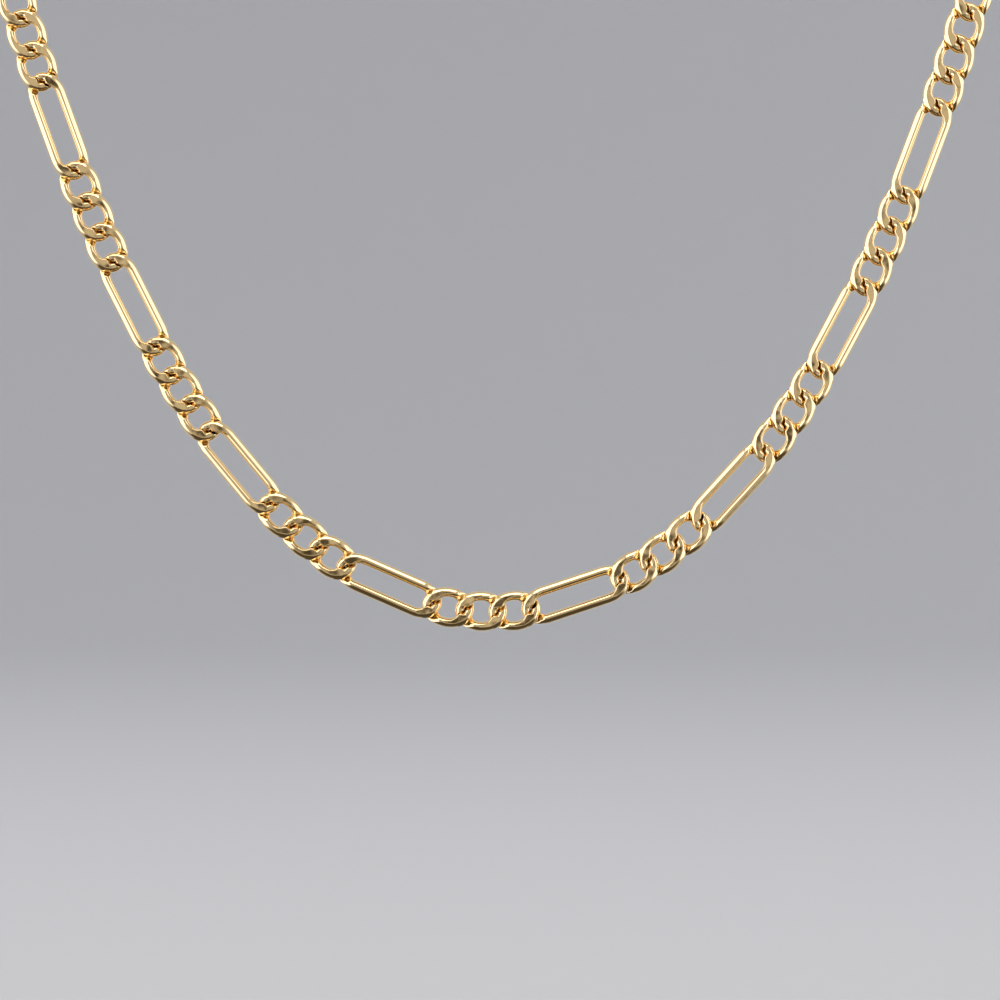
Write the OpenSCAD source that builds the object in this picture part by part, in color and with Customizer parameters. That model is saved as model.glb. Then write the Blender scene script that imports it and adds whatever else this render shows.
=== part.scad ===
// Figaro chain necklace of polished yellow gold, as it hangs round a neck.
// Three short curb links and one long link take turns. Each link is round wire, bent to an
// oval, soldered, twisted, pressed where it crosses its neighbours and ground flat on both faces.
// The front hangs in an upright plane that faces -Y, the clasp is at the nape, and +Z is up.
// The origin is the middle of the neck, level with the stretch that lies round it.

/* [Chain] */
// Number of groups of three short links, with one long link between two groups
groups = 23; // [19:1:29]
// Number of short links in a group
short_count = 3; // [2:1:5]
// Thickness of the chain from its ground front to its ground back
chain_t = 1.7; // [1.5:0.05:2.2]
// Clearance between two pieces where one hangs in the other
link_gap = 0.2; // [0.15:0.01:0.3]
// How far the chain has slid round the neck from the middle
slide = -1.65; // [-4:0.05:4]

/* [Short link] */
// Width of a short link
short_w = 5; // [4.6:0.05:5.6]
// Length of a short link
short_l = 6.6; // [6:0.05:8]

/* [Long link] */
// Width of a long link
long_w = 4.7; // [4.4:0.05:5.4]
// Length of a long link
long_l = 14.15; // [11:0.05:20]

/* [Wire] */
// Width of the wire along the side of a link
side_wire = 1.26; // [1.1:0.02:1.4]
// Width of the wire at the end of a link
end_wire = 1.14; // [1:0.02:1.3]
// Width of the pressed wire where two links cross
cross_wire = 1.72; // [1.4:0.02:1.8]

/* [Neck] */
// Radius of the stretch round the back of the neck
neck_r = 69; // [50:1:80]
// Straight stretch along each side of the neck
neck_side = 15.5; // [0:0.5:40]
// Slope at which the stretch round the neck rises to the nape
neck_rise = 25; // [0:1:40]
// Radius of the bend over the collarbone
shoulder_r = 30; // [15:1:40]
// Angle by which the chain's face turns from up to outward at the nape
nape_turn = 70; // [40:1:90]

/* [Clasp] */
// Length of the clasp
clasp_l = 13.6; // [11:0.1:18]
// Width of the clasp at its hook
clasp_w = 5.4; // [4.8:0.1:7]
// Width of the clasp at its tail
clasp_tail_w = 3.6; // [3.4:0.1:4.5]
// Thickness of the clasp
clasp_t = 1.6; // [1.2:0.1:2]
// Width of the metal round the clasp's eyes
clasp_wall = 1; // [0.8:0.05:1.1]
// Length of the eye in the hook
hook_eye_l = 5.6; // [4:0.1:7]
// Outside diameter of the two rings
ring_d = 5; // [4.6:0.1:6]
// Wire thickness of the two rings
ring_wire = 0.9; // [0.7:0.05:1]

/* [Hidden] */

gold = "#e2b765";

// Sides of the meshed wire, and the angles of its stations in a quarter of a link
wire_sides = 6;
quarter = [16, 38, 64, 90];
// Extra clearance that makes up for the flat facets between two stations
facet_room = 0.05;
// The wire is pressed where two links cross, and this power keeps the pressed stretch short
press_power = 2.5;
// How soon a long link's bars turn from one face of the chain to the other
bar_lean = 1;
// How fast the surface at which two links meet turns from level to steep
contact_turn = 1.85;
// How often a point of a link is moved away from that surface until it keeps its distance
push_steps = 3;
// Sides of the round outlines, and of the round wire of the rings
round_sides = 48;
ring_wire_sides = 24;

// Where two links cross, each fills its half of the chain's thickness, less half the clearance
cross_n = (chain_t + link_gap) / 4;
cross_half_t = (chain_t - link_gap) / 4 / sin(60);

// A pitch is the distance from one joint to the next along the chain. A ring lies slack by
// as much as the corners of the metal inside it need.
short_p = short_l - 2 * end_wire - link_gap;
long_p = long_l - 2 * end_wire - link_gap;
ring_in_r = ring_d / 2 - ring_wire;
function ring_slack(thickness) = ring_in_r - sqrt(pow(ring_in_r - link_gap, 2) - pow(thickness / 2, 2));
link_slack = ring_slack(end_wire);
clasp_slack = ring_slack(clasp_t);
ring_p = 2 * ring_in_r + link_gap - link_slack - clasp_slack;
clasp_p = clasp_l - 2 * clasp_wall - link_gap;
group_p = short_count * short_p + long_p;
chain_l = groups * group_p - long_p;
loop_l = chain_l + 2 * ring_p + clasp_p;
chain_start = slide - chain_l / 2;
chain_end = slide + chain_l / 2;

// A long link's end has the same form as a short link's, and straight bars join the two ends
bar_half = (long_l - short_l) / 2;

// The way of the chain: from the lowest link, a catenary up to the collarbone, a bend
// over it, a straight stretch back along the neck and a half circle round the nape.
// lean is the angle from upright at which the catenary ends. It is solved from the length,
// by halving the span between a flat and a steep end until it is far below a micrometre.
lean_low = 1;
lean_high = 80;
lean_steps = 40;
back_dir = [0, cos(neck_rise), sin(neck_rise)];
neck_up = [0, -sin(neck_rise), cos(neck_rise)];
function lean_dir(lean) = [sin(lean), 0, cos(lean)];
function bend_of(lean) = acos(cos(lean) * sin(neck_rise));
function bend_side(lean) =
    (back_dir - cos(bend_of(lean)) * lean_dir(lean)) / sin(bend_of(lean));
function bend_move(lean, turned) =
    shoulder_r * (sin(turned) * lean_dir(lean) + (1 - cos(turned)) * bend_side(lean));
function arc_l(radius, turned) = radius * turned * PI / 180;
function front_l(lean) =
    loop_l / 2 - arc_l(neck_r, 90) - neck_side - arc_l(shoulder_r, bend_of(lean));
function asinh(value) = ln(value + sqrt(value * value + 1));
function front_reach(lean) = front_l(lean) * tan(lean) * asinh(1 / tan(lean));
function miss(lean) = front_reach(lean) + bend_move(lean, bend_of(lean)).x - neck_r;
function solve_lean(low, high, steps) =
    steps == 0 ? (low + high) / 2
    : miss((low + high) / 2) > 0 ? solve_lean(low, (low + high) / 2, steps - 1)
    : solve_lean((low + high) / 2, high, steps - 1);
lean = solve_lean(lean_low, lean_high, lean_steps);
bend = bend_of(lean);
sag_r = front_l(lean) * tan(lean);

// Lengths along the chain at which the four stretches of one half end
front_s = front_l(lean);
bend_s = front_s + arc_l(shoulder_r, bend);
side_s = bend_s + neck_side;

function catenary(s) = [sag_r * asinh(s / sag_r), 0, sqrt(sag_r * sag_r + s * s) - sag_r];
bend_end = catenary(front_s) + bend_move(lean, bend);
// Middle of the neck, seen from the lowest point of the chain
neck_mid = bend_end + neck_side * back_dir - [neck_r, 0, 0];

function turned_by(s, radius) = s / radius * 180 / PI;
function right_way(s) =
    s < front_s ? catenary(s) - neck_mid
    : s < bend_s ? catenary(front_s) + bend_move(lean, turned_by(s - front_s, shoulder_r)) - neck_mid
    : s < side_s ? bend_end + (s - bend_s) * back_dir - neck_mid
    : neck_r * (cos(turned_by(s - side_s, neck_r)) * [1, 0, 0]
        + sin(turned_by(s - side_s, neck_r)) * back_dir);

// The way the chain's front looks: forward where it hangs, up over the collarbone, and
// more and more outward round the neck
side_n = -cos(bend) * bend_side(lean) + sin(bend) * lean_dir(lean);
bend_slant = [0, -1, 0] * bend_side(lean);
bend_axis = cross(lean_dir(lean), bend_side(lean));
function bend_face(turned) =
    ([0, -1, 0] * bend_axis) * bend_axis
    + bend_slant * (cos(turned) * bend_side(lean) - sin(turned) * lean_dir(lean));
side_turn = atan2(bend_face(bend).x, bend_face(bend) * neck_up);
function back_turn(s) =
    side_turn + (nape_turn - side_turn) * (s - bend_s) / (loop_l / 2 - bend_s);
function outward(s) =
    s < side_s ? [1, 0, 0]
    : cos(turned_by(s - side_s, neck_r)) * [1, 0, 0] + sin(turned_by(s - side_s, neck_r)) * back_dir;
function right_face(s) =
    s < front_s ? [0, -1, 0]
    : s < bend_s ? bend_face(turned_by(s - front_s, shoulder_r))
    : cos(back_turn(s)) * neck_up + sin(back_turn(s)) * outward(s);

// The left half mirrors the right one, and past the nape the count goes on from the left
function wrap(s) = s > loop_l / 2 ? s - loop_l : s < -loop_l / 2 ? s + loop_l : s;
function flip(point) = [-point.x, point.y, point.z];
function way(s) = wrap(s) < 0 ? flip(right_way(-wrap(s))) : right_way(wrap(s));
function face(s) = wrap(s) < 0 ? flip(right_face(-wrap(s))) : right_face(wrap(s));

// Where a piece lies that reaches from one joint to the next: its middle and its own
// directions, across the chain, along it and out of its face
function unit(v) = v / norm(v);
function place(s, pitch) =
    let (
        low = way(s),
        high = way(s + pitch),
        along = unit(high - low),
        across = unit(cross(along, face(s + pitch / 2)))
    )
    [(low + high) / 2, across, along, cross(across, along)];

// Two links meet at a surface through their joint that is level in the middle of the chain's
// thickness and steep at its two faces. A link keeps to its own side of it wherever the end
// of the next link reaches. These three look at a point as if the joint were above it.
room = link_gap / 2 + facet_room;
function is_met(p, pitch) =
    let (
        reach_w = short_w / 2 + room,
        reach_l = short_l / 2 + room,
        next_middle = pitch / 2 + short_l / 2 - end_wire - link_gap / 2
    )
    abs(p.x) < reach_w
    && p.y > next_middle - reach_l * sqrt(1 - pow(p.x / reach_w, 2));
function keep_off(p, pitch, steps) =
    let (
        slant = [contact_turn * p.z, 1, contact_turn * p.x],
        lacking = room * norm(slant) - (p.y - pitch / 2 + contact_turn * p.x * p.z)
    )
    steps == 0 || lacking <= 0 ? p : keep_off(p + slant * lacking / (slant * slant), pitch, steps - 1);
function upper_side(p, pitch) = is_met(p, pitch) ? keep_off(p, pitch, push_steps) : p;
function half_turn(p) = [-p.x, -p.y, p.z];
function own_side(p, pitch) =
    p.y > 0 ? upper_side(p, pitch) : half_turn(upper_side(half_turn(p), pitch));
function ground(p) = [p.x, p.y, max(-chain_t / 2, min(chain_t / 2, p.z))];

// One station of a link's wire. angle goes round the link from its right side, and end is
// 1 in its upper half and -1 in its lower half. bar is half the length of its straight bars.
function station(width, bar, lean_share, pitch, angle, end) =
    let (
        half_w = width / 2,
        half_l = short_l / 2,
        press = pow(abs(sin(2 * angle)), press_power),
        plain = side_wire * pow(cos(angle), 2) + end_wire * pow(sin(angle), 2),
        wide = plain + (cross_wire - plain) * press,
        deep = plain / 2 + (cross_half_t - plain / 2) * press,
        slope = unit([cos(angle) / half_w, sin(angle) / half_l]),
        middle = [half_w * cos(angle), half_l * sin(angle) + end * bar] - slope * wide / 2,
        lift = cross_n * (sin(2 * angle) + lean_share * end * cos(angle)) / (1 + lean_share * sin(45))
    )
    [for (k = [0:wire_sides - 1])
        let (
            turn = k * 360 / wire_sides,
            flat = middle + slope * wide / 2 * cos(turn),
            point = [flat.x, flat.y, lift + deep * sin(turn)]
        )
        ground(own_side(point, pitch))];

upper_half = [each quarter, for (i = [len(quarter) - 2:-1:0]) 180 - quarter[i]];
function link(width, bar, lean_share, pitch) = [
    for (angle = upper_half) each station(width, bar, lean_share, pitch, angle, 1),
    for (angle = upper_half) each station(width, bar, lean_share, pitch, angle + 180, -1)
];
short_link = link(short_w, 0, 0, short_p);
long_link = link(long_w, bar_half, bar_lean, long_p);

function placed(points, at) =
    [for (p = points) at[0] + p.x * at[1] + p.y * at[2] + p.z * at[3]];

// Triangles of one closed wire whose stations start at the point numbered first
function wire_faces(stations, first) =
    [for (i = [0:stations - 1], k = [0:wire_sides - 1])
        let (
            here = first + i * wire_sides,
            next = first + (i + 1) % stations * wire_sides,
            k2 = (k + 1) % wire_sides
        )
        each [[here + k, next + k2, next + k], [here + k, here + k2, next + k2]]];

module links(one_link, starts, pitch) {
    stations = len(one_link) / wire_sides;
    polyhedron(
        points = [for (s = starts) each placed(one_link, place(s, pitch))],
        faces = [for (i = [0:len(starts) - 1]) each wire_faces(stations, i * len(one_link))],
        convexity = 10
    );
}

short_starts = [for (g = [0:groups - 1], i = [0:short_count - 1])
    chain_start + g * group_p + i * short_p];
long_starts = [for (g = [0:groups - 2]) chain_start + g * group_p + short_count * short_p];

module short_links() {
    color(gold) links(short_link, short_starts, short_p);
}

module long_links() {
    color(gold) links(long_link, long_starts, long_p);
}

// Puts a piece drawn across x, along y and facing z at its place in the chain
module put(at) {
    multmatrix([
        [at[1].x, at[2].x, at[3].x, at[0].x],
        [at[1].y, at[2].y, at[3].y, at[0].y],
        [at[1].z, at[2].z, at[3].z, at[0].z],
        [0, 0, 0, 1]
    ])
    children();
}

// A ring stands on edge to the chain's face, so that its wire passes through link and clasp.
// It is drawn between its two joints and moved to where it lies evenly slack in both.
module ring(s, clasp_side) {
    color(gold)
    put(place(s, ring_p))
    translate([0, clasp_side * (clasp_slack - link_slack) / 2, 0])
    rotate([0, 90, 0])
    rotate_extrude($fn = round_sides)
    translate([(ring_d - ring_wire) / 2, 0])
    circle(d = ring_wire, $fn = ring_wire_sides);
}

module clasp_ring() {
    ring(chain_end, 1);
}

module end_ring() {
    ring(chain_end + ring_p + clasp_p, -1);
}

// Outline of two round ends joined by their common tangents
module drop(low_r, high_r, low_y, high_y) {
    tilt = asin((high_r - low_r) / (high_y - low_y));
    translate([0, low_y]) circle(r = low_r, $fn = round_sides);
    translate([0, high_y]) circle(r = high_r, $fn = round_sides);
    polygon([
        [low_r * cos(tilt), low_y - low_r * sin(tilt)],
        [high_r * cos(tilt), high_y - high_r * sin(tilt)],
        [-high_r * cos(tilt), high_y - high_r * sin(tilt)],
        [-low_r * cos(tilt), low_y - low_r * sin(tilt)]
    ]);
}

module clasp() {
    hook_r = clasp_w / 2;
    tail_r = clasp_tail_w / 2;
    hook_y = clasp_l / 2 - hook_r;
    tail_y = tail_r - clasp_l / 2;
    eye_r = hook_r - clasp_wall;
    eye_low_r = tail_r - clasp_wall;
    eye_low_y = clasp_l / 2 - clasp_wall - hook_eye_l + eye_low_r;
    color(gold)
    put(place(chain_end + ring_p, clasp_p))
    linear_extrude(clasp_t, center = true)
    difference() {
        drop(tail_r, hook_r, tail_y, hook_y);
        drop(eye_low_r, eye_r, eye_low_y, hook_y);
        translate([0, tail_y]) circle(r = tail_r - clasp_wall, $fn = round_sides);
    }
}

short_links();
long_links();
clasp_ring();
clasp();
end_ring();
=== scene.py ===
import random
from math import acos, asinh, atan2, copysign, cos, pi, radians, sin, sqrt, tan

import bpy
from mathutils import Matrix, Vector


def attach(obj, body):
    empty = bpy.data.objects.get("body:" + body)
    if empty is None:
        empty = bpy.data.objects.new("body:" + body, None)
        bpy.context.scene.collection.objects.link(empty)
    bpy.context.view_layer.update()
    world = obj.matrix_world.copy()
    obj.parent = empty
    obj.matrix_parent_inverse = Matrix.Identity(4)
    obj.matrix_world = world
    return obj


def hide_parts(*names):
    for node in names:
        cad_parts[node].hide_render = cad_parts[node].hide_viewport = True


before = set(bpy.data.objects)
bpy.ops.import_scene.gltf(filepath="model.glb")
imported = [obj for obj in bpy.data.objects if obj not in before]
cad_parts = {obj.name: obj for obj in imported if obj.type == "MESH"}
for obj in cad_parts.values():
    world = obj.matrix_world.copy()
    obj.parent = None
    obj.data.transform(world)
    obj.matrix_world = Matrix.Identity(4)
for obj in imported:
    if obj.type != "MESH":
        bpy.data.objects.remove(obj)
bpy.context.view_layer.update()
bpy.ops.object.select_all(action="DESELECT")


# Short links
# Round gold wire, bent to an oval through the last link, soldered, twisted, pressed where it
# crosses its neighbours, ground flat on both faces and polished. Three follow each other.

# Links are modelled in millimetres and brought to size where they are laid
mm = 0.001
groups = 23
short_count = 3
thickness = 1.7
gap = 0.2

short_width = 5.0
short_length = 6.6
long_width = 4.7
long_length = 14.15

# The wire's width along a link's sides and at its ends, its depth there in a short link, and
# how much wider it is at the bearings, where it hangs in the next link
side_wire = 1.26
end_wire = 1.14
short_side_depth = 1.74
end_depth = 1.48
bearing = 0.12

# Where two links cross: the pressed wire's width, how far its middle lies from the middle of
# the chain's thickness, and its depths from there to the face and to the neighbour
cross_wire = 1.72
cross_lift = 0.2
cross_over = 0.76
cross_under = cross_lift - gap / 4

# A pitch is the distance between a piece's two joints. The chain has slid round by a little
slide = -1.65
short_pitch = short_length - 2 * end_wire - gap
long_pitch = long_length - 2 * end_wire - gap
group_pitch = short_count * short_pitch + long_pitch
chain_length = groups * group_pitch - long_pitch
chain_start = slide - chain_length / 2

# The clasp and its two rings close the loop, and each ring lies slack in what it holds
clasp_length = 13.6
clasp_thickness = 1.6
clasp_wall = 1.0
ring_width = 5.0
ring_wire = 0.9
ring_inside = ring_width / 2 - ring_wire


def ring_slack(held):
    return ring_inside - sqrt((ring_inside - gap) ** 2 - (held / 2) ** 2)


link_slack = ring_slack(end_wire)
clasp_slack = ring_slack(clasp_thickness)
ring_pitch = 2 * ring_inside + gap - link_slack - clasp_slack
clasp_pitch = clasp_length - 2 * clasp_wall - gap
loop_length = chain_length + 2 * ring_pitch + clasp_pitch

# How the chain lies round the neck: a catenary in front, a bend over the collarbone, a
# straight stretch along the side and a half circle round the nape
neck_radius = 69
neck_side = 15.5
neck_rise = radians(25)
shoulder_radius = 30
nape_turn = radians(70)
back_way = Vector((0, cos(neck_rise), sin(neck_rise)))
neck_up = Vector((0, -sin(neck_rise), cos(neck_rise)))
right = Vector((1, 0, 0))
front = Vector((0, -1, 0))


class Lean:
    """The front's two ends lean outward by this angle, and the rest follows from it."""

    def __init__(self, angle):
        self.way = Vector((sin(angle), 0, cos(angle)))
        self.bend = acos(cos(angle) * sin(neck_rise))
        self.inward = (back_way - cos(self.bend) * self.way) / sin(self.bend)
        self.front_end = (
            loop_length / 2 - neck_radius * pi / 2 - neck_side - shoulder_radius * self.bend
        )
        self.sag = self.front_end * tan(angle)

    def catenary(self, s):
        return Vector((self.sag * asinh(s / self.sag), 0, sqrt(self.sag**2 + s**2) - self.sag))

    def bent(self, turned):
        return shoulder_radius * (sin(turned) * self.way + (1 - cos(turned)) * self.inward)

    def bend_end(self):
        return self.catenary(self.front_end) + self.bent(self.bend)


# The lean is found by halving the span between a steep and a flat one, until the loop closes
low, high = radians(1), radians(80)
for step in range(40):
    angle = (low + high) / 2
    if Lean(angle).bend_end().x > neck_radius:
        high = angle
    else:
        low = angle
lean = Lean((low + high) / 2)
bend_s = lean.front_end + shoulder_radius * lean.bend
side_s = bend_s + neck_side
neck_middle = lean.bend_end() + neck_side * back_way - neck_radius * right


def outward(s):
    turned = max(0, (s - side_s) / neck_radius)
    return cos(turned) * right + sin(turned) * back_way


def right_way(s):
    """The chain's right half, at the length s from its lowest point."""
    if s < lean.front_end:
        return lean.catenary(s) - neck_middle
    if s < bend_s:
        turned = (s - lean.front_end) / shoulder_radius
        return lean.catenary(lean.front_end) + lean.bent(turned) - neck_middle
    if s < side_s:
        return lean.bend_end() + (s - bend_s) * back_way - neck_middle
    return neck_radius * outward(s)


def bend_face(turned):
    axis = lean.way.cross(lean.inward)
    along_bend = cos(turned) * lean.inward - sin(turned) * lean.way
    return front.dot(axis) * axis + front.dot(lean.inward) * along_bend


side_turn = atan2(bend_face(lean.bend).x, bend_face(lean.bend).dot(neck_up))


def right_face(s):
    """The way the chain's face looks: forward where it hangs, and outward at the nape."""
    if s < lean.front_end:
        return front
    if s < bend_s:
        return bend_face((s - lean.front_end) / shoulder_radius)
    turned = side_turn + (nape_turn - side_turn) * (s - bend_s) / (loop_length / 2 - bend_s)
    return cos(turned) * neck_up + sin(turned) * outward(s)


def either_side(s, right_half):
    """The left half mirrors the right one, and past the nape s goes on from the left."""
    if s > loop_length / 2:
        s -= loop_length
    found = right_half(abs(s)).copy()
    if s < 0:
        found.x = -found.x
    return found


def place(s, pitch):
    """Where a piece lies between its two joints: across the chain, along it, out of its face."""
    start, end = either_side(s, right_way), either_side(s + pitch, right_way)
    along = (end - start).normalized()
    across = along.cross(either_side(s + pitch / 2, right_face)).normalized()
    out = across.cross(along)
    turned = Matrix((across, along, out)).transposed().to_4x4()
    return Matrix.Scale(mm, 4) @ Matrix.Translation((start + end) / 2) @ turned


# The surface at which two links meet turns with its distance from the middle, where it leaves
# them no room. They have drawn back by their whole share of the gap at the open depth, and
# from another depth on their edges are rounded. The surface ends softly past the next link's
# wire. It isn't kept exactly: neighbours reach 0.15 mm into each other, and 0.25 mm at most.
contact_turn = 1.85
contact_room = gap / 2
open_depth = 0.7
rounded_from = 0.4
slot_rounding = 0.4
soft_edge = 0.22
contact_steps = 3


def own_side(point, pitch):
    """Two links meet at a surface that is level in the middle of the chain's thickness and
    steep at its faces, and each keeps to its own side of it where the other's end reaches."""
    reach_width = short_width / 2 + contact_room
    reach_length = short_length / 2 + contact_room
    next_middle = pitch / 2 + short_length / 2 - end_wire - gap / 2
    flip = 1 if point.y > 0 else -1
    p = Vector((flip * point.x, flip * point.y, point.z))
    for step in range(contact_steps):
        inside = 1 - (p.x / reach_width) ** 2 - (min(0, p.y - next_middle) / reach_length) ** 2
        share = max(0, min(1, inside / soft_edge))
        share = share * share * (3 - 2 * share)
        depth = min(1, abs(p.z) / (thickness / 2))
        swing = contact_turn * p.z * (2 - depth)
        slant = Vector((swing, 1, contact_turn * p.x * (2 - 2 * depth)))
        open_by = contact_room * min(1, abs(p.z) / open_depth) ** 2
        open_by += slot_rounding * max(0, abs(p.z) - rounded_from) ** 2
        lacking = open_by * slant.length - (p.y - pitch / 2 + swing * p.x)
        if lacking > 0:
            p += slant * lacking / slant.length_squared * share
    return Vector((flip * p.x, flip * p.y, p.z))


# The pressed stretches are short. The wire is fuller on the inside of a link's ends, its
# outside slopes more along the sides, and the twist turns it a little.
press_power = 6
inside_fullness = 0.12
outside_slope = 0.35
wire_twist = 0.1


def wire_point(width, bar, side_depth, bar_lean, pitch, angle, end, turn):
    """A point of a link's wire: angle goes round the link, turn goes round the wire, and end
    goes from 1 at the upper end of its straight bars to -1 at their lower end."""
    half_width, half_length = width / 2, short_length / 2
    press = sin(2 * angle) ** press_power
    plain = side_wire * cos(angle) ** 2 + (end_wire + bearing) * sin(angle) ** 2
    plain_depth = (side_depth * cos(angle) ** 2 + end_depth * sin(angle) ** 2) / 2
    wide = plain + (cross_wire - plain) * press
    slope = Vector((cos(angle) / half_width, sin(angle) / half_length)).normalized()
    middle = Vector((half_width * cos(angle), half_length * sin(angle) + end * bar))
    middle -= slope * wide / 2
    lift = cross_lift * sin(2 * angle) * abs(sin(2 * angle)) + bar_lean * end * cos(angle)
    cross_depth = cross_over if lift * sin(turn) > 0 else cross_under
    deep = plain_depth + (cross_depth - plain_depth) * press
    if cos(turn) < 0:
        fullness = 1 - inside_fullness * sin(angle) ** 4
    else:
        fullness = 1 + outside_slope * cos(angle) ** 2
    reach = wide / 2 * copysign(abs(cos(turn)) ** fullness, cos(turn))
    flat = middle + slope * (reach - wire_twist * sin(2 * angle) * deep * sin(turn))
    return own_side(Vector((flat.x, flat.y, lift + deep * sin(turn))), pitch)


def choose(piece, kind, wanted):
    """Selects the wanted vertices, edges or faces of a piece, and leaves it in edit mode."""
    bpy.ops.object.mode_set(mode="EDIT")
    bpy.ops.mesh.select_mode(type=kind)
    bpy.ops.mesh.select_all(action="DESELECT")
    bpy.ops.object.mode_set(mode="OBJECT")
    mesh = piece.data
    for part in {"VERT": mesh.vertices, "EDGE": mesh.edges, "FACE": mesh.polygons}[kind]:
        part.select = wanted(part)
    bpy.ops.object.mode_set(mode="EDIT")


# Points round the wire gather at its crests, where the faces are ground, and keep clear of
# the plane of the grinding, so that it leaves no slivers. The faces' edges are polished
# round, and what is larger than the least area is a ground face.
wire_sides = 18
crest_gather = 0.12
cut_clearance = 0.03
edge_round = 0.07
least_ground_area = 0.3


def bent_link(width, bar, side_depth, bar_lean, pitch, stations):
    """A ring of wire is bent, twisted and pressed point by point, then ground flat."""
    bpy.ops.mesh.primitive_torus_add(
        major_segments=len(stations), minor_segments=wire_sides,
        major_radius=width / 2 - side_wire / 2, minor_radius=side_wire / 2,
    )
    link = bpy.context.active_object
    for number, vertex in enumerate(link.data.vertices):
        angle, end = stations[number // wire_sides]
        turn = (number % wire_sides) * 2 * pi / wire_sides
        turn += crest_gather * sin(2 * turn)
        vertex.co = wire_point(width, bar, side_depth, bar_lean, pitch, angle, end, turn)
        above = abs(vertex.co.z) - thickness / 2
        if abs(above) < cut_clearance:
            cleared = thickness / 2 + copysign(cut_clearance, above)
            vertex.co.z = copysign(cleared, vertex.co.z)

    def on_ground_face(edge):
        ends = [link.data.vertices[v].co.z for v in edge.vertices]
        return all(abs(abs(z) - thickness / 2) < 1e-5 for z in ends)

    bpy.ops.object.mode_set(mode="EDIT")
    for side in (1, -1):
        bpy.ops.mesh.select_all(action="SELECT")
        bpy.ops.mesh.bisect(
            plane_co=(0, 0, side * thickness / 2), plane_no=(0, 0, side),
            use_fill=True, clear_outer=True,
        )
    choose(link, "EDGE", on_ground_face)
    bpy.ops.mesh.remove_doubles(threshold=edge_round)
    choose(link, "EDGE", on_ground_face)
    bpy.ops.mesh.bevel(offset=edge_round, segments=2, affect="EDGES")
    bpy.ops.object.mode_set(mode="OBJECT")
    bpy.ops.object.shade_smooth()
    weighted = link.modifiers.new("even flats", "WEIGHTED_NORMAL")
    weighted.weight = 80
    bpy.ops.object.modifier_apply(modifier=weighted.name)
    for face in link.data.polygons:
        ground = abs(face.normal.z) > 0.9999 and face.area > least_ground_area
        face.material_index = 1 if ground else 0
    return link


# Each link hangs a little differently. In degrees, how much it rocks about the chain's way
# and how much it nods across it
rock_spread = 0.9
nod_spread = 0.5


def lay_links(link, name, starts, pitch, materials, node):
    """Copies a link along the chain, and joins the copies as one piece."""
    for material in materials:
        link.data.materials.append(material)
    chance = random.Random(len(starts))
    copies = []
    for s in starts:
        copy = link.copy()
        copy.data = link.data.copy()
        bpy.context.collection.objects.link(copy)
        rock = Matrix.Rotation(radians(chance.gauss(0, rock_spread)), 4, "Y")
        nod = Matrix.Rotation(radians(chance.gauss(0, nod_spread)), 4, "X")
        copy.data.transform(place(s, pitch) @ rock @ nod)
        copies.append(copy)
    bpy.data.objects.remove(link)
    bpy.ops.object.select_all(action="DESELECT")
    for copy in copies:
        copy.select_set(True)
    bpy.context.view_layer.objects.active = copies[0]
    bpy.ops.object.join()
    piece = bpy.context.active_object
    piece.name = name
    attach(piece, "root")
    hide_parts(node)
    bpy.ops.object.select_all(action="DESELECT")


deeper_gold = (0.90, 0.65, 0.32, 1)
paler_gold = (0.96, 0.71, 0.37, 1)
# Painted shade: the dark brown painted into deep corners and slots, and the reach in metres within
# which ambient occlusion finds them
painted_shade_gold = (0.30, 0.16, 0.05, 1)
painted_shade_reach = 0.0006
scratch_way = (0.4, 0.5, 0.9)
scratch_stretch = 14


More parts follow.
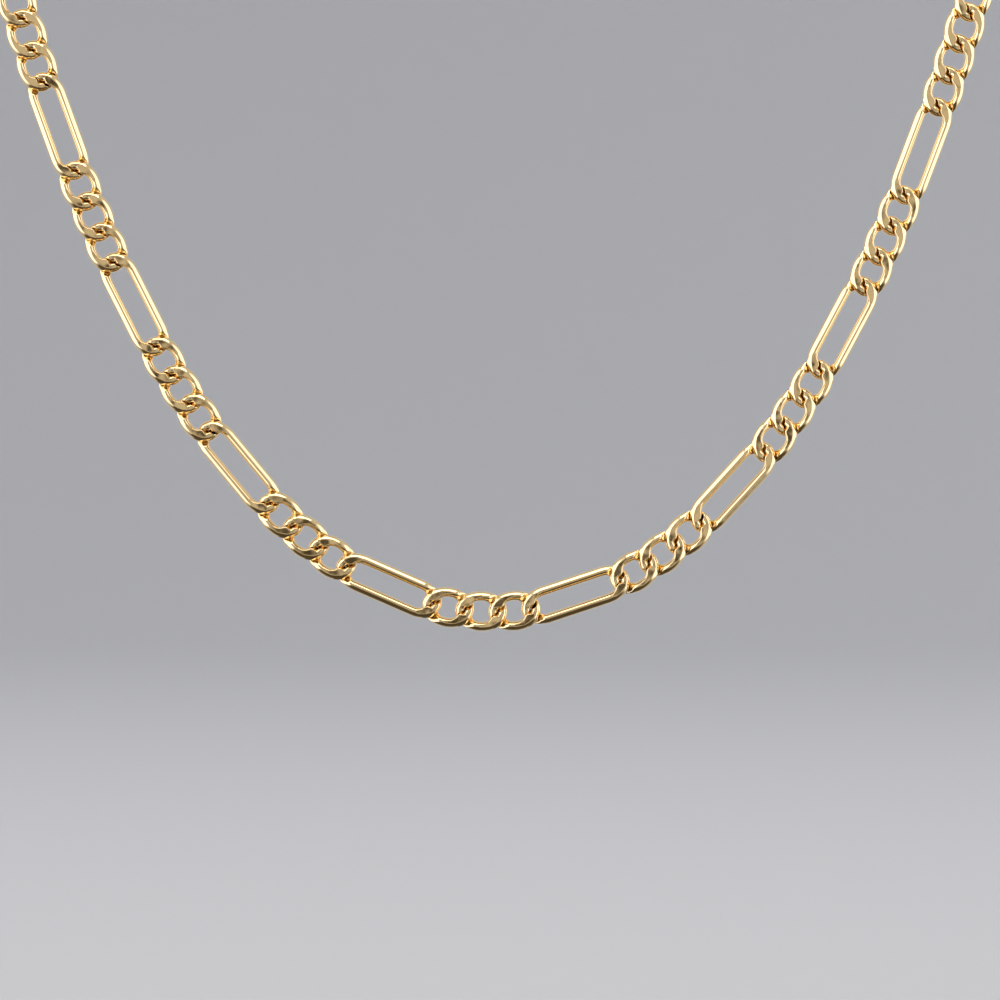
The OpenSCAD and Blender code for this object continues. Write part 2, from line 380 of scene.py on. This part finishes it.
def gold(name, roughness, wave_depth, wave_scale, scratch_depth, scratch_scale):
    """Polished gold, whose colour drifts a little, with painted shade that darkens it to a dark brown
    in deep corners and slots, where ambient occlusion finds close surfaces. Its gloss is uneven, and
    the polishing has left low waves and fine scratches."""
    material = bpy.data.materials.new(name)
    material.use_nodes = True
    nodes, wires = material.node_tree.nodes, material.node_tree.links
    shader = nodes["Principled BSDF"]
    shader.inputs["Metallic"].default_value = 1.0
    place_in = nodes.new("ShaderNodeTexCoord").outputs["Object"]

    def noise(way, scale, detail):
        texture = nodes.new("ShaderNodeTexNoise")
        texture.inputs["Scale"].default_value = scale
        texture.inputs["Detail"].default_value = detail
        wires.new(way, texture.inputs["Vector"])
        return texture.outputs["Fac"]

    def spread(value, span, to_span):
        change = nodes.new("ShaderNodeMapRange")
        change.inputs["From Min"].default_value, change.inputs["From Max"].default_value = span
        change.inputs["To Min"].default_value, change.inputs["To Max"].default_value = to_span
        wires.new(value, change.inputs["Value"])
        return change.outputs["Result"]

    def mix(share, first):
        both = nodes.new("ShaderNodeMix")
        both.data_type = "RGBA"
        both.inputs["A"].default_value = first
        wires.new(share, both.inputs["Factor"])
        return both

    def bump(height, depth):
        relief = nodes.new("ShaderNodeBump")
        relief.inputs["Strength"].default_value = 1.0
        relief.inputs["Distance"].default_value = depth
        wires.new(height, relief.inputs["Height"])
        return relief

    drift = mix(noise(place_in, scale=180, detail=3), deeper_gold)
    drift.inputs["B"].default_value = paler_gold
    # Painted shade: the base colour turns dark brown where ambient occlusion finds close surfaces, in
    # the slots and corners between links
    painted_shade_node = nodes.new("ShaderNodeAmbientOcclusion")
    painted_shade_node.inputs["Distance"].default_value = painted_shade_reach
    painted_shade_node.samples = 8
    colour = mix(spread(painted_shade_node.outputs["AO"], (0.05, 0.45), (0, 1)), painted_shade_gold)
    wires.new(drift.outputs["Result"], colour.inputs["B"])
    wires.new(colour.outputs["Result"], shader.inputs["Base Color"])

    smears = noise(place_in, scale=1400, detail=4)
    wires.new(spread(smears, (0.3, 0.7), roughness), shader.inputs["Roughness"])

    waves = bump(noise(place_in, wave_scale, detail=1), wave_depth)
    turned = nodes.new("ShaderNodeMapping")
    turned.inputs["Rotation"].default_value = scratch_way
    across = scratch_scale * scratch_stretch
    turned.inputs["Scale"].default_value = (scratch_scale, across, across)
    wires.new(place_in, turned.inputs["Vector"])
    scratches = bump(noise(turned.outputs["Vector"], scale=1, detail=2), scratch_depth)
    wires.new(waves.outputs["Normal"], scratches.inputs["Normal"])
    wires.new(scratches.outputs["Normal"], shader.inputs["Normal"])
    return material


polished_gold = gold(
    "polished_gold", roughness=(0.04, 0.10), wave_depth=0.00002, wave_scale=700,
    scratch_depth=0.0000015, scratch_scale=900,
)
ground_gold = gold(
    "ground_gold", roughness=(0.06, 0.12), wave_depth=0.00008, wave_scale=450,
    scratch_depth=0.0000006, scratch_scale=1500,
)

round_steps = 30
end_gather = 0.12


def station_angle(step):
    """Half a turn round a link is made in so many steps, which gather at the link's end."""
    return step * pi / round_steps + end_gather * sin(step * 2 * pi / round_steps)


short_stations = [(station_angle(step), 1) for step in range(2 * round_steps)]
short_link = bent_link(short_width, 0, short_side_depth, 0, short_pitch, short_stations)
short_starts = [
    chain_start + group * group_pitch + i * short_pitch
    for group in range(groups)
    for i in range(short_count)
]
lay_links(
    short_link, "short_curb_links", short_starts, short_pitch,
    (polished_gold, ground_gold), "short_links",
)


# Long links
# One lies between two groups of short links. It is the same round wire, bent to an oval with
# straight sides, whose ends are twisted, pressed and ground as a short link's are.
bar_half = (long_length - short_length) / 2
bar_steps = 12
bar_depth = 1.63
bar_lean = 0.03
half_round = [station_angle(step) for step in range(round_steps + 1)]
long_stations = [(angle, 1) for angle in half_round]
long_stations += [(pi, 1 - 2 * i / bar_steps) for i in range(1, bar_steps)]
long_stations += [(pi + angle, -1) for angle in half_round]
long_stations += [(0, -1 + 2 * i / bar_steps) for i in range(1, bar_steps)]
long_link = bent_link(long_width, bar_half, bar_depth, bar_lean, long_pitch, long_stations)
long_starts = [
    chain_start + group * group_pitch + short_count * short_pitch for group in range(groups - 1)
]
lay_links(
    long_link, "long_links_between", long_starts, long_pitch,
    (polished_gold, ground_gold), "long_links",
)


# Rings
# A ring of drawn gold wire joins each end of the chain to the clasp. It is wound round a rod,
# cut, closed and soldered, and stands on edge to the chain's face.
chain_end = chain_start + chain_length
ring_stations = 64
ring_sides = 18

# The solder seam is a fine groove across the wire. It lies at a station of the ring, and what
# is nearer to it than its reach, in radians, belongs to it
seam_turn = radians(67.5)
seam_half_width = 0.05
seam_narrowing = 0.94
seam_reach = 0.004


def lay_ring(name, node, s, clasp_side):
    """A ring stands a little nearer to the clasp, which is thicker than a link's end."""
    wire_middle = ring_inside + ring_wire / 2
    bpy.ops.mesh.primitive_torus_add(
        major_segments=ring_stations, minor_segments=ring_sides,
        major_radius=wire_middle, minor_radius=ring_wire / 2,
    )
    ring = bpy.context.active_object
    ring.name = name

    def at_seam(vertex):
        return abs(atan2(vertex.co.y, vertex.co.x) - seam_turn) < seam_reach

    choose(ring, "VERT", at_seam)
    bpy.ops.mesh.bevel(offset=seam_half_width, segments=2, affect="EDGES")
    choose(ring, "VERT", at_seam)
    bpy.ops.transform.resize(
        value=(seam_narrowing, seam_narrowing, seam_narrowing),
        center_override=Vector((cos(seam_turn), sin(seam_turn), 0)) * wire_middle,
    )
    bpy.ops.object.mode_set(mode="OBJECT")
    bpy.ops.object.shade_smooth()
    slack = Matrix.Translation((0, clasp_side * (clasp_slack - link_slack) / 2, 0))
    ring.data.transform(place(s, ring_pitch) @ slack @ Matrix.Rotation(pi / 2, 4, "Y"))
    ring.data.materials.append(polished_gold)
    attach(ring, "root")
    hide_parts(node)
    bpy.ops.object.select_all(action="DESELECT")


lay_ring("clasp_jump_ring", "clasp_ring", chain_end, 1)
lay_ring("end_jump_ring", "end_ring", chain_end + ring_pitch + clasp_pitch, -1)


# Clasp
# A small cast gold hook with an eye in its tail, rounded all over and polished. A fine seam
# shows where its closing lever meets the hook, and the lever's pin is riveted.
hook_radius = 2.7
tail_radius = 1.8
hook_eye_length = 5.6
hook_y = clasp_length / 2 - hook_radius
tail_y = tail_radius - clasp_length / 2
eye_radius = hook_radius - clasp_wall
eye_low_radius = tail_radius - clasp_wall
eye_low_y = clasp_length / 2 - clasp_wall - hook_eye_length + eye_low_radius
cutter_height = 3
plate_rounding = 0.36


def drop(low_radius, high_radius, low_y, high_y, height):
    """A round plate whose lower half is narrowed and drawn down to the tail."""
    bpy.ops.mesh.primitive_cylinder_add(
        vertices=64, radius=high_radius, depth=height, location=(0, high_y, 0)
    )
    plate = bpy.context.active_object
    bpy.ops.object.transform_apply(location=True)
    tangent = high_y - high_radius * (high_radius - low_radius) / (high_y - low_y)
    choose(plate, "VERT", lambda vertex: vertex.co.y < tangent)
    narrowed = low_radius / high_radius
    bpy.ops.transform.resize(value=(narrowed, narrowed, 1), center_override=(0, high_y, 0))
    bpy.ops.transform.translate(value=(0, low_y - high_y, 0))
    bpy.ops.object.mode_set(mode="OBJECT")
    return plate


def cut_or_join(piece, tool, operation):
    change = piece.modifiers.new("change", "BOOLEAN")
    change.object = tool
    change.operation = operation
    change.solver = "EXACT"
    bpy.context.view_layer.objects.active = piece
    bpy.ops.object.modifier_apply(modifier=change.name)
    bpy.data.objects.remove(tool)


def round_edges(piece, width, segments, from_angle):
    rounding = piece.modifiers.new("rounding", "BEVEL")
    rounding.width = width
    rounding.segments = segments
    rounding.limit_method = "ANGLE"
    rounding.angle_limit = from_angle
    bpy.context.view_layer.objects.active = piece
    bpy.ops.object.modifier_apply(modifier=rounding.name)


clasp = drop(tail_radius, hook_radius, tail_y, hook_y, clasp_thickness)
clasp.name = "lobster_clasp"
hook_eye = drop(eye_low_radius, eye_radius, eye_low_y, hook_y, cutter_height)
cut_or_join(clasp, hook_eye, "DIFFERENCE")
bpy.ops.mesh.primitive_cylinder_add(
    vertices=48, radius=eye_low_radius, depth=cutter_height, location=(0, tail_y, 0)
)
cut_or_join(clasp, bpy.context.active_object, "DIFFERENCE")
round_edges(clasp, plate_rounding, 4, radians(50))

# The lever's two seams, each with its place and turn: the wall is cut through and joined
# again by a slimmer core
seams = (((-1.5, 5.6), radians(-45)), ((2.12, 1.6), radians(8)))
seam_cut = (1.5, 0.09, 2)
seam_core = (0.8, 0.3, 1.4)
for seam_place, turn in seams:
    for size, operation in ((seam_cut, "DIFFERENCE"), (seam_core, "UNION")):
        bpy.ops.mesh.primitive_cube_add(
            size=1, location=(*seam_place, 0), rotation=(0, 0, turn), scale=size
        )
        cut_or_join(clasp, bpy.context.active_object, operation)

# The pin of the lever, with its riveted ends, and the lever's thumb knob
pin_radius = 0.42
pin_proud = 0.06
pin_rounding = 0.05
pin_place = (0.75, -0.9, 0)
knob_radius = 0.6
knob_shape = (1, 1.2, 0.9)
knob_place = (2.2, 0.2, 0)
bpy.ops.mesh.primitive_cylinder_add(
    vertices=32, radius=pin_radius, depth=clasp_thickness + 2 * pin_proud, location=pin_place
)
pin = bpy.context.active_object
round_edges(pin, pin_rounding, 2, radians(30))
cut_or_join(clasp, pin, "UNION")
bpy.ops.mesh.primitive_uv_sphere_add(
    segments=24, ring_count=12, radius=knob_radius, location=knob_place, scale=knob_shape
)
cut_or_join(clasp, bpy.context.active_object, "UNION")
bpy.ops.object.select_all(action="DESELECT")
clasp.select_set(True)
bpy.context.view_layer.objects.active = clasp
bpy.ops.object.shade_smooth_by_angle(angle=radians(35))
clasp.data.transform(place(chain_end + ring_pitch, clasp_pitch))
clasp.data.materials.clear()
clasp.data.materials.append(polished_gold)
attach(clasp, "root")
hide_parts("clasp")
bpy.ops.object.select_all(action="DESELECT")


# Floor
# A plain pale floor below the chain, which curves up all round into an open-topped wall. The
# gold reflects the studio's lights alone, and not the floor.
floor_level = -0.19
wall_radius = 3.2
wall_height = 3.0
floor_curve = 1.0
bpy.ops.mesh.primitive_cylinder_add(
    vertices=96, radius=wall_radius, depth=wall_height, end_fill_type="NGON",
    location=(0, 0, floor_level + wall_height / 2),
)
sweep = bpy.context.active_object
sweep.name = "pale_floor"
bpy.ops.object.transform_apply(location=True)
choose(sweep, "FACE", lambda face: face.normal.z > 0.9)
bpy.ops.mesh.delete(type="ONLY_FACE")


def at_floor(edge):
    return all(sweep.data.vertices[v].co.z < floor_level + 0.001 for v in edge.vertices)


choose(sweep, "EDGE", at_floor)
bpy.ops.mesh.bevel(offset=floor_curve, segments=16, affect="EDGES")
bpy.ops.mesh.select_all(action="SELECT")
bpy.ops.mesh.flip_normals()
bpy.ops.object.mode_set(mode="OBJECT")
bpy.ops.object.shade_smooth()
pale = bpy.data.materials.new("pale_floor")
pale.use_nodes = True
pale_shader = pale.node_tree.nodes["Principled BSDF"]
pale_shader.inputs["Base Color"].default_value = (0.52, 0.51, 0.50, 1)
pale_shader.inputs["Roughness"].default_value = 0.9
sweep.data.materials.append(pale)
sweep.visible_glossy = False
sweep.visible_shadow = False


# Camera
# It looks level at the hanging front of the chain from 75 cm away, and its picture is as
# wide as the stretch of the front that shows.
front_y = -neck_middle.y * mm
camera_distance = 0.75
picture_width = 0.1238
picture_middle_x = 0.00069
picture_middle_z = -0.11304
camera_data = bpy.data.cameras.new("camera")
camera_data.sensor_width = 36
camera_data.lens = camera_data.sensor_width * camera_distance / picture_width
camera_data.clip_start = 0.01
camera = bpy.data.objects.new("camera", camera_data)
camera.location = (picture_middle_x, front_y - camera_distance, picture_middle_z)
camera.rotation_euler = (radians(90), 0, 0)
bpy.context.collection.objects.link(camera)
bpy.context.scene.camera = camera


# Lights
# One large softbox hangs over the chain. The pale studio round it is the world, which the
# gold reflects: a dark floor, two big soft glows at the sides, and a ring round the camera.
softbox_data = bpy.data.lights.new("top_softbox", "AREA")
softbox_data.shape = "RECTANGLE"
softbox_data.size = 2.2
softbox_data.size_y = 1.5
softbox_data.energy = 26
top_softbox = bpy.data.objects.new("top_softbox", softbox_data)
top_softbox.location = (0, -0.3, 1.9)
top_softbox.visible_camera = False
bpy.context.collection.objects.link(top_softbox)

world = bpy.data.worlds.new("pale_studio")
world.use_nodes = True
nodes, wires = world.node_tree.nodes, world.node_tree.links
way = nodes.new("ShaderNodeTexCoord").outputs["Generated"]
way_parts = nodes.new("ShaderNodeSeparateXYZ")
wires.new(way, way_parts.inputs["Vector"])


def tone_ramp(source, tones):
    """Each tone has its place, its brightness, how warm it is, and how much it covers."""
    ramp = nodes.new("ShaderNodeValToRGB")
    stops = ramp.color_ramp.elements
    while len(stops) < len(tones):
        stops.new(0.5)
    for stop, (at, tone, warmth, cover) in zip(stops, tones):
        stop.position = at
        stop.color = (tone * (1 + warmth), tone, tone * (1 - 1.5 * warmth), cover)
    wires.new(source, ramp.inputs["Fac"])
    return ramp


# From straight down to straight up: the dark floor, its edge, and the pale walls
height_tones = ((0, 0.06, 0.15, 1), (0.13, 0.08, 0.15, 1), (0.24, 0.56, -0.02, 1), (1, 0.62, -0.02, 1))
height = nodes.new("ShaderNodeMapRange")
height.inputs["From Min"].default_value = -1
wires.new(way_parts.outputs["Z"], height.inputs["Value"])
lit = tone_ramp(height.outputs["Result"], height_tones).outputs["Color"]

# The glows at the sides: the way to each, its half width in degrees and its strength
side_glows = (((-1, -0.15, 0.1), 48, 1.45), ((1, 0.05, 0.1), 42, 1.15))
glow_soft_edge = 7
glow_tint = (0.92, 1, 1.25)
for toward, half_width, strength in side_glows:
    facing = nodes.new("ShaderNodeVectorMath")
    facing.operation = "DOT_PRODUCT"
    facing.inputs[1].default_value = Vector(toward).normalized()
    wires.new(way, facing.inputs[0])
    glow = nodes.new("ShaderNodeMapRange")
    glow.interpolation_type = "SMOOTHSTEP"
    glow.inputs["From Min"].default_value = cos(radians(half_width + glow_soft_edge))
    glow.inputs["From Max"].default_value = cos(radians(half_width - glow_soft_edge))
    wires.new(facing.outputs["Value"], glow.inputs["Value"])
    with_glow = nodes.new("ShaderNodeVectorMath")
    with_glow.operation = "MULTIPLY_ADD"
    wires.new(glow.outputs["Result"], with_glow.inputs[0])
    with_glow.inputs[1].default_value = [strength * tint for tint in glow_tint]
    wires.new(lit, with_glow.inputs[2])
    lit = with_glow.outputs["Vector"]

# By degrees from behind the chain, round to the camera's side at 180: a dark ring, the pale
# disc inside it that the ground faces reflect, and the dark camera in its middle
camera_side_tones = (
    (0, 0.3, 0, 0), (143.5, 0.07, 0.3, 0), (148.5, 0.07, 0.3, 0.9), (151, 0.09, 0.3, 1),
    (155, 0.50, 0.02, 1), (175, 0.60, 0.02, 1), (177.2, 0.05, 0.2, 1),
)
degrees_round = nodes.new("ShaderNodeMath")
degrees_round.operation = "ARCCOSINE"
wires.new(way_parts.outputs["Y"], degrees_round.inputs[0])
share_round = nodes.new("ShaderNodeMath")
share_round.operation = "DIVIDE"
share_round.inputs[1].default_value = pi
wires.new(degrees_round.outputs["Value"], share_round.inputs[0])
camera_side = tone_ramp(
    share_round.outputs["Value"], [(turned / 180, *tone) for turned, *tone in camera_side_tones]
)
studio = nodes.new("ShaderNodeMix")
studio.data_type = "RGBA"
wires.new(camera_side.outputs["Alpha"], studio.inputs["Factor"])
wires.new(lit, studio.inputs["A"])
wires.new(camera_side.outputs["Color"], studio.inputs["B"])
wires.new(studio.outputs["Result"], nodes["Background"].inputs["Color"])
bpy.context.scene.world = world
bpy.context.scene.view_settings.view_transform = "Standard"

bpy.context.view_layer.update()
